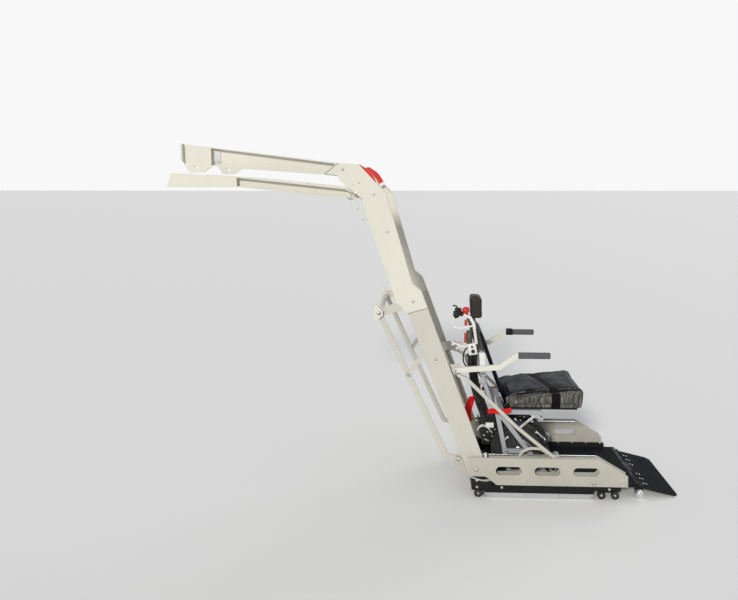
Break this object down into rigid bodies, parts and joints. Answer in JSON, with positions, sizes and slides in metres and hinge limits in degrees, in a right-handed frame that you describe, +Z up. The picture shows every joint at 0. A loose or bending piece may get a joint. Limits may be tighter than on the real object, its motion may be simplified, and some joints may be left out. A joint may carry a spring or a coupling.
{
  "type": "aircraft wheelchair lift",
  "caption": "Mobile lift with leaning masts, cabin rails and a chair carriage that raises a rider from the ground to an aircraft door.",
  "frame": {"origin": "on the ground, under the middle of the bounding box", "axes": "+X outboard from the aircraft door towards the ramp, +Y across to the far side, +Z up"},
  "size_m": [2.684, 0.646, 1.855],
  "materials": {
    "beige_paint": "satin",
    "grey_plastic": "matte",
    "red_plastic": "satin",
    "black_paint": "satin",
    "bare_steel": "satin",
    "ramp_coating": "gritty",
    "roller_chrome": "polished",
    "roller_plastic": "satin",
    "arm_paint": "satin",
    "grip_foam": "matte",
    "chair_paint": "satin",
    "column_paint": "satin",
    "vinyl": "satin",
    "black_housing": "matte",
    "chair_tyre": "matte",
    "fork_steel": "satin",
    "webbing": "woven"
  },
  "bodies": {
    "frame": {"lower_masts": "beige_paint", "upper_masts": "beige_paint", "corner_guides": "red_plastic", "knee_strips": "grey_plastic", "top_rails": "beige_paint", "bottom_rails": "beige_paint", "pad_arms": "beige_paint", "stays": "beige_paint", "door_pads": "beige_paint", "stay_links": "beige_paint", "foot_brackets": "beige_paint", "cross_tubes": "beige_paint", "base_frame": "black_paint", "base_strips": "bare_steel", "winch_motor": "black_paint"},
    "carriage": {"side_guards": "beige_paint", "guide_rollers": "roller_plastic", "floor": "black_paint", "ramp_hinge": "bare_steel", "tie_uprights": "beige_paint", "braces": "beige_paint", "brace_arcs": "beige_paint", "chair_frame": "chair_paint", "seat_board": "black_housing", "back_posts": "chair_paint", "seat_cushion": "vinyl", "backrest": "vinyl", "back_column": "column_paint", "head_pad": "vinyl", "drive_unit": "black_housing", "control_box": "chair_paint", "push_handle": "chair_paint", "handle_grip": "grip_foam", "control_cylinder": "column_paint", "finger_lever": "chair_paint", "tie_straps": "webbing"},
    "base_axle_rear": {"base_wheels_rear": "roller_plastic"},
    "base_axle_middle": {"base_wheels_middle": "roller_plastic"},
    "base_axle_front": {"base_wheels_front": "roller_plastic"},
    "front_rollers": {"front_rollers": "roller_chrome"},
    "armrest_near": {"armrest_near": "arm_paint", "armrest_grip_near": "grip_foam"},
    "ramp_near": {"ramp_leaf_near": "ramp_coating"},
    "chair_wheel_near": {"chair_wheel_near": "chair_tyre"},
    "caster_near": {"caster_fork_near": "fork_steel"},
    "caster_wheel_near": {"caster_wheel_near": "chair_tyre"},
    "armrest_far": {"armrest_far": "arm_paint", "armrest_grip_far": "grip_foam"},
    "ramp_far": {"ramp_leaf_far": "ramp_coating"},
    "chair_wheel_far": {"chair_wheel_far": "chair_tyre"},
    "caster_far": {"caster_fork_far": "fork_steel"},
    "caster_wheel_far": {"caster_wheel_far": "chair_tyre"}
  },
  "joints": [
    {"name": "carriage_lift", "type": "slide", "parent": "frame", "child": "carriage", "axis": [-0.3494, 0, 0.937], "range_m": [0, 1.4]},
    {"name": "base_axle_rear_spin", "type": "hinge", "parent": "frame", "child": "base_axle_rear", "pos_m": [0.27, 0, 0.021], "axis": [0, 1, 0], "continuous": true},
    {"name": "base_axle_middle_spin", "type": "hinge", "parent": "frame", "child": "base_axle_middle", "pos_m": [0.923, 0, 0.021], "axis": [0, 1, 0], "continuous": true},
    {"name": "base_axle_front_spin", "type": "hinge", "parent": "frame", "child": "base_axle_front", "pos_m": [0.995, 0, 0.021], "axis": [0, 1, 0], "continuous": true},
    {"name": "front_roller_spin", "type": "hinge", "parent": "carriage", "child": "front_rollers", "pos_m": [1.13, 0, 0.022], "axis": [0, 1, 0], "continuous": true},
    {"name": "armrest_near_fold", "type": "hinge", "parent": "carriage", "child": "armrest_near", "pos_m": [0.13591, -0.294, 0.696], "axis": [0, -1, 0], "range_deg": [0, 85]},
    {"name": "ramp_near_fold", "type": "hinge", "parent": "carriage", "child": "ramp_near", "pos_m": [1.148, -0.132, 0.05], "axis": [0, -1, 0], "range_deg": [0, 100]},
    {"name": "chair_wheel_near_spin", "type": "hinge", "parent": "carriage", "child": "chair_wheel_near", "pos_m": [0.495, -0.165, 0.2223], "axis": [0, 1, 0], "continuous": true},
    {"name": "caster_near_swivel", "type": "hinge", "parent": "carriage", "child": "caster_near", "pos_m": [0.705, -0.14, 0.175], "axis": [0, 0, 1], "continuous": true},
    {"name": "caster_wheel_near_spin", "type": "hinge", "parent": "caster_near", "child": "caster_wheel_near", "pos_m": [0.691, -0.14, 0.1043], "axis": [0, 1, 0], "continuous": true},
    {"name": "armrest_far_fold", "type": "hinge", "parent": "carriage", "child": "armrest_far", "pos_m": [0.13591, 0.294, 0.696], "axis": [0, -1, 0], "range_deg": [0, 85]},
    {"name": "ramp_far_fold", "type": "hinge", "parent": "carriage", "child": "ramp_far", "pos_m": [1.148, 0.132, 0.05], "axis": [0, -1, 0], "range_deg": [0, 100]},
    {"name": "chair_wheel_far_spin", "type": "hinge", "parent": "carriage", "child": "chair_wheel_far", "pos_m": [0.495, 0.165, 0.2223], "axis": [0, 1, 0], "continuous": true},
    {"name": "caster_far_swivel", "type": "hinge", "parent": "carriage", "child": "caster_far", "pos_m": [0.705, 0.14, 0.175], "axis": [0, 0, 1], "continuous": true},
    {"name": "caster_wheel_far_spin", "type": "hinge", "parent": "caster_far", "child": "caster_wheel_far", "pos_m": [0.691, 0.14, 0.1043], "axis": [0, 1, 0], "continuous": true}
  ]
}
